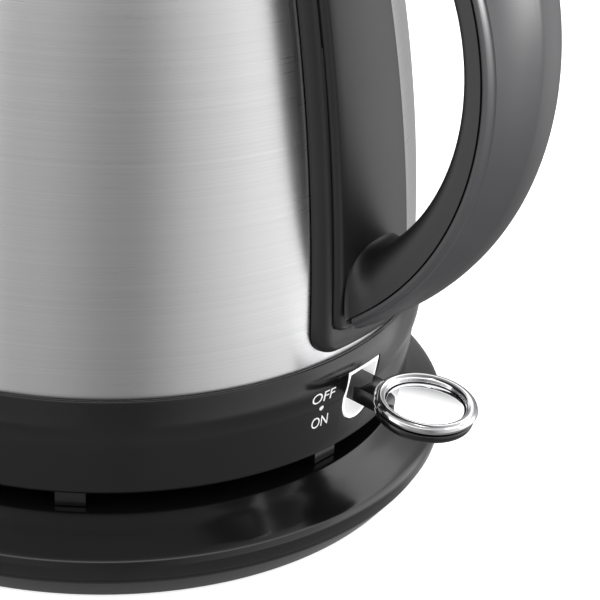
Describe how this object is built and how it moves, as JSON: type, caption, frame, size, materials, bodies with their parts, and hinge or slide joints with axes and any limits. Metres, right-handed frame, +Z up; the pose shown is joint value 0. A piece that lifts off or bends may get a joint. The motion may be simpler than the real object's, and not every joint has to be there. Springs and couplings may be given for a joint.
{
  "type": "electric kettle",
  "caption": "Cordless electric kettle: tapered brushed steel body, dark plastic foot ring, D handle, hinged lid and spout, paddle switch, on a round swivel power base.",
  "frame": {"origin": "on the kettle's vertical axis at table height, at the middle of the power base's underside", "axes": "+Z up, +X towards the handle and switch, -X towards the spout"},
  "size_m": [0.207, 0.1712, 0.2193],
  "materials": {
    "brushed_steel": "horizontally brushed stainless steel",
    "inner_steel": "plain satin stainless steel",
    "gloss_plastic": "gloss dark grey moulded plastic",
    "satin_plastic": "satin dark grey moulded plastic",
    "dark_plastic": "fine textured black moulded plastic",
    "liner_plastic": "pale grey moulded plastic",
    "chrome": "bright plated trim",
    "mirror": "mirror polished inset",
    "rubber": "soft black rubber",
    "silicone": "translucent grey silicone",
    "aluminium": "die cast aluminium",
    "brass": "plated brass contact and bimetal",
    "spring_steel": "zinc plated steel"
  },
  "bodies": {
    "base": {"base_top_cover": "gloss_plastic", "base_bottom_cover": "dark_plastic", "base_connector": "dark_plastic", "cord_inlet": "rubber", "base_foot_1": "rubber", "base_foot_2": "rubber", "base_foot_3": "rubber", "base_foot_4": "rubber", "base_screw_1": "spring_steel", "base_screw_2": "spring_steel", "base_screw_3": "spring_steel"},
    "swivel": {"connector_shutter": "satin_plastic"},
    "kettle": {"steel_body": "brushed_steel", "spout": "brushed_steel", "vessel_floor": "inner_steel", "body_seal": "silicone", "heater_plate": "aluminium", "heating_element": "spring_steel", "control_unit": "dark_plastic", "kettle_connector": "dark_plastic", "ring_contact": "brass", "pin_contact": "brass", "lower_housing": "gloss_plastic", "underside_plate": "dark_plastic", "underside_screw_1": "spring_steel", "underside_screw_2": "spring_steel", "underside_screw_3": "spring_steel", "switch_liner": "liner_plastic", "switch_bracket": "dark_plastic", "switch_pin": "spring_steel", "steam_tube": "dark_plastic", "bimetal_disc": "brass", "handle_plate": "satin_plastic", "handle_inner_shell": "satin_plastic", "handle_outer_cover": "satin_plastic", "handle_screw_lower": "spring_steel", "handle_screw_upper": "spring_steel", "top_collar": "gloss_plastic", "lid_pin": "spring_steel", "spout_filter": "satin_plastic", "button_spring": "spring_steel"},
    "switch": {"switch_lever": "gloss_plastic", "switch_ring": "chrome", "switch_inset": "mirror"},
    "lid": {"lid_cover": "gloss_plastic", "lid_pan": "inner_steel", "lid_seal": "silicone"},
    "latch": {"lid_latch": "dark_plastic"},
    "button": {"release_button": "gloss_plastic"}
  },
  "joints": [
    {"name": "kettle_turn", "type": "hinge", "parent": "base", "child": "swivel", "pos_m": [0, 0, 0.023], "axis": [0, 0, 1], "continuous": true},
    {"name": "kettle_lift", "type": "slide", "parent": "swivel", "child": "kettle", "axis": [0, 0, 1], "range_m": [0, 0.06]},
    {"name": "switch_press", "type": "hinge", "parent": "kettle", "child": "switch", "pos_m": [0.056, 0, 0.0413], "axis": [0, 1, 0], "range_deg": [0, 9]},
    {"name": "lid_hinge", "type": "hinge", "parent": "kettle", "child": "lid", "pos_m": [0.0466, 0, 0.2096], "axis": [0, 1, 0], "range_deg": [0, 75]},
    {"name": "button_press", "type": "slide", "parent": "kettle", "child": "button", "axis": [0, 0, -1], "range_m": [0, 0.0025], "stiffness_N_per_m": 400, "springref_m": -0.004, "deforming": ["button_spring"]},
    {"name": "latch_slide", "type": "slide", "parent": "kettle", "child": "latch", "axis": [1, 0, 0], "range_m": [0, 0.0025]}
  ],
  "couplings": [
    {"joint": "latch_slide", "follows": "button_press", "ratio": 1}
  ]
}
